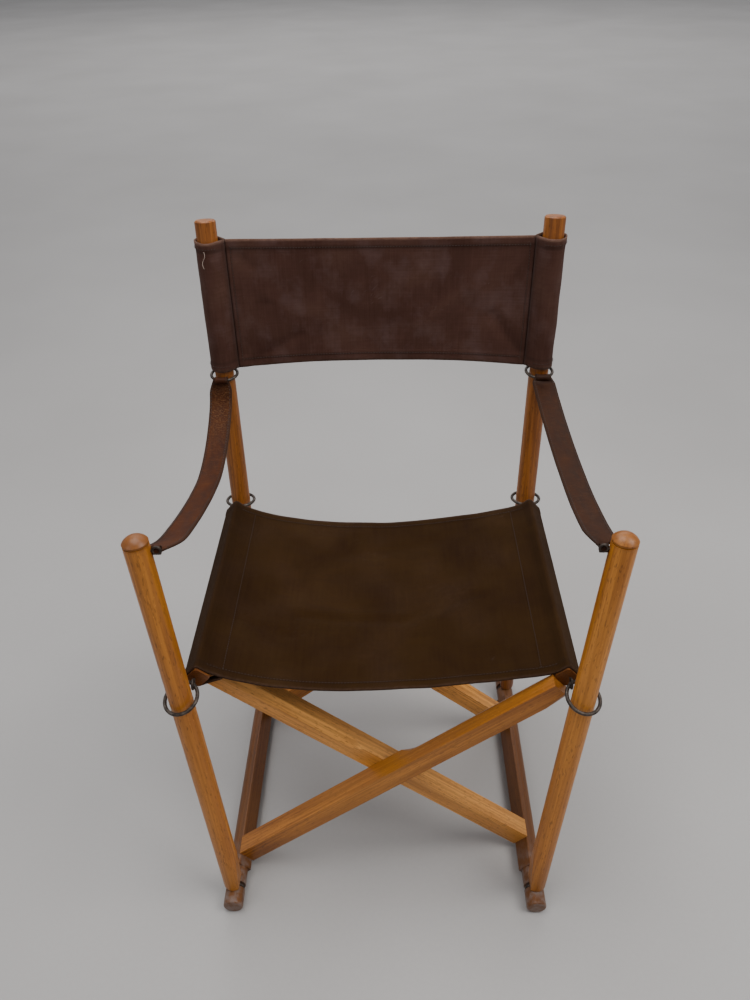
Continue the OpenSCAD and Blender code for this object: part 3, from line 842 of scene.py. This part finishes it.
# ---------------------------------------------------------------- leather armrests
# Each strap's sagging route as (y, z), from the rear ring to the front eye.
ROUTE = {
    -1: ((459, 640), (455, 621), (441, 597), (406, 573), (365, 557), (321, 551),
         (272, 558), (225, 570), (171, 587), (120, 606), (84, 626), (58, 643)),
    1: ((459, 640), (452, 630), (436, 625), (406, 620), (365, 616), (321, 614),
        (273, 614), (225, 616), (171, 621), (120, 630), (84, 639), (58, 645)),
}
STRAP_ROWS, STRAP_COLUMNS = 90, 12
NARROW, WIDE = 10.5, 17.0            # half widths at the rear ring and along the arm
REAR_X, FRONT_X = 243.0, 246.5       # the strap's ends
REAR_LOOP_X = 0.2425                 # in metres, as the sizes of the loops are
LOOP_REAR = {"radius": 0.0042, "width": 0.021, "thick": 0.002}
LOOP_FRONT = {"radius": 0.0045, "width": 0.009, "thick": 0.0018}


def curve_point(points, t):
    """Smooth curve through the points, t from 0 to 1."""
    n = len(points) - 1
    i = min(int(t * n), n - 1)
    u = t * n - i
    near = [points[max(0, min(n, i + k))] for k in (-1, 0, 1, 2)]
    out = []
    for a, b, c, d in zip(*near):
        bend = (2 * a - 5 * b + 4 * c - d) * u * u + (3 * b - a - 3 * c + d) * u ** 3
        out.append(0.5 * (2 * b + (c - a) * u + bend))
    return out


def strap_point(side, t, u):
    """Point of a strap: t from its rear end to its front end, u from edge to edge, -1 to 1."""
    y, z = curve_point(ROUTE[side], t)
    x = mix(REAR_X, FRONT_X, t) + 3.0 * math.sin(math.pi * t)
    half = mix(NARROW, WIDE, smooth(t / 0.11))
    gather = smooth((t - 0.88) / 0.12)
    tuck = smooth((t - 0.955) / 0.045)
    out = u * side
    shift = out * half * (1 - 0.78 * gather if out < 0 else 1 - 0.75 * tuck)
    z += -1.2 * (1 - u * u) - 5.0 * gather * smooth((0.3 - out) / 1.2)
    z += -0.08 * out * half * (1 - gather) + 0.5 * wave(t * 9, u * 1.5, 0, side)
    return place(side * (x + shift), y + 0.35 * wave(t * 18, u, 0, 8 + side), z)


def make_strap(side, mat):
    """One armrest strap and the stitches along its edges."""
    rows, cols = STRAP_ROWS, STRAP_COLUMNS
    grid = [[strap_point(side, r / rows, 2 * c / cols - 1) for c in range(cols + 1)] for r in range(rows + 1)]

    def thick(r, c):
        return 0.0030 if 0 < c < cols else 0.0020

    def wear(r, c):
        return {0: 1.0, 1: 0.25}.get(min(c, cols - c), 0.0)

    def crack(r, c):
        t = r / rows
        return smooth((0.34 - t) / 0.12) * smooth((t - 0.03) / 0.05) if side < 0 else 0.0

    obj = cloth("armrest_" + hand(side), grid, mat, thick, wear, crack=crack)
    runs = []
    for c in (1, cols - 1):
        points, normals = [], []
        for r in range(4, rows - 3):
            across = grid[r][c + 1] - grid[r][c - 1]
            up = across.cross(grid[r + 1][c] - grid[r - 1][c]).normalized()
            if up.z < 0:
                up = -up
            points.append(grid[r][c] + up * 0.0015)
            normals.append(up)
        runs.append((points, normals))
    return obj, stitches("armrest_stitches_" + hand(side), runs, THREAD, 0.005, 0.0034, 0.0009)


def loop_band(name, mat, centre, radius, width, thick):
    """A short leather loop round an axis along x."""
    axis = Vector((1, 0, 0))
    a = axis.orthogonal().normalized()
    b = axis.cross(a)
    rows, cols = 40, 4
    grid = []
    for r in range(rows + 1):
        turn = math.radians(360 * r / rows)
        rim = Vector(centre) + (a * math.cos(turn) + b * math.sin(turn)) * radius
        grid.append([rim + axis * mix(-width / 2, width / 2, c / cols) for c in range(cols + 1)])
    return cloth(name, grid, mat, lambda r, c: thick, lambda r, c: 1.0 if c in (0, cols) else 0.1)


WARMTH = {-1: 1.0, 1: 0.35}
for side in (-1, 1):
    hide = leather("leather_" + hand(side), WARMTH[side])
    strap, strap_thread = make_strap(side, hide)
    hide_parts("armrest_strap_" + hand(side))
    low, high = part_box("armrest_ring_" + hand(side))
    ring_front = (side * REAR_LOOP_X, low[1] + 0.0022, (low[2] + high[2]) / 2 - 0.001)
    rear_loop = loop_band("armrest_loop_rear_" + hand(side), hide, ring_front, **LOOP_REAR)
    low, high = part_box("armrest_eye_" + hand(side))
    eye = (side * FRONT_X / 1000, (low[1] + high[1]) / 2 + 0.004, low[2] + 0.003)
    front_loop = loop_band("armrest_loop_front_" + hand(side), hide, eye, **LOOP_FRONT)
    for piece in (strap, strap_thread, front_loop):
        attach(piece, "front_" + hand(side) + "_leg")
    for piece in (strap, strap_thread):
        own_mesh(piece)
    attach(rear_loop, "rear_" + hand(side) + "_leg")


# ---------------------------------------------------------------- stage, light, camera
def area_light(name, at, size, power, color=(1, 1, 1), to=(0, 0, 0.4)):
    """A soft rectangular light that faces a point."""
    light = bpy.data.lights.new(name, "AREA")
    light.shape = "RECTANGLE"
    light.size, light.size_y = size
    light.energy = power
    light.color = color
    obj = bpy.data.objects.new(name, light)
    obj.location = at
    obj.rotation_euler = (Vector(to) - Vector(at)).to_track_quat("-Z", "Y").to_euler()
    bpy.context.scene.collection.objects.link(obj)


def make_camera(at, pitch, yaw, roll, lens):
    """A camera that looks down by pitch and aside by yaw, with its picture turned by roll."""
    look = Vector((math.sin(yaw) * math.cos(pitch), math.cos(yaw) * math.cos(pitch), -math.sin(pitch)))
    level = Vector((math.cos(yaw), -math.sin(yaw), 0))
    upright = level.cross(look)
    right = level * math.cos(roll) + upright * math.sin(roll)
    up = upright * math.cos(roll) - level * math.sin(roll)
    camera = bpy.data.cameras.new("camera")
    camera.sensor_fit = "VERTICAL"
    camera.sensor_height = 36
    camera.lens = lens
    obj = bpy.data.objects.new("camera", camera)
    obj.matrix_world = Matrix.Translation(at) @ Matrix((right, up, -look)).transposed().to_4x4()
    bpy.context.scene.collection.objects.link(obj)
    bpy.context.scene.camera = obj


bpy.ops.mesh.primitive_plane_add(size=70, location=(0, 0, 0))
floor = bpy.context.object
floor.name = "floor"
floor.data.materials.append(pale_floor())

world = bpy.context.scene.world or bpy.data.worlds.new("world")
bpy.context.scene.world = world
world.use_nodes = True
sky = world.node_tree.nodes["Background"]
sky.inputs["Color"].default_value = (0.93, 0.95, 1.0, 1.0)
sky.inputs["Strength"].default_value = 0.40

area_light("key", (1.9, -0.6, 2.8), (1.7, 1.7), 62, color=(1.0, 0.985, 0.96))
area_light("fill", (-2.2, -1.8, 2.2), (1.8, 1.6), 17, color=(0.97, 0.98, 1.0))
area_light("top", (-0.4, 0.3, 2.9), (2.0, 2.0), 60, to=(0, 0, 0.3))
area_light("far", (0.0, 8.0, 5.0), (9.0, 7.0), 420, to=(0, 8.0, 0))
make_camera(place(12.9, -617.7, 1215.7), pitch=math.radians(36.95), yaw=math.radians(-1.38),
            roll=math.radians(-1.19), lens=28.84)
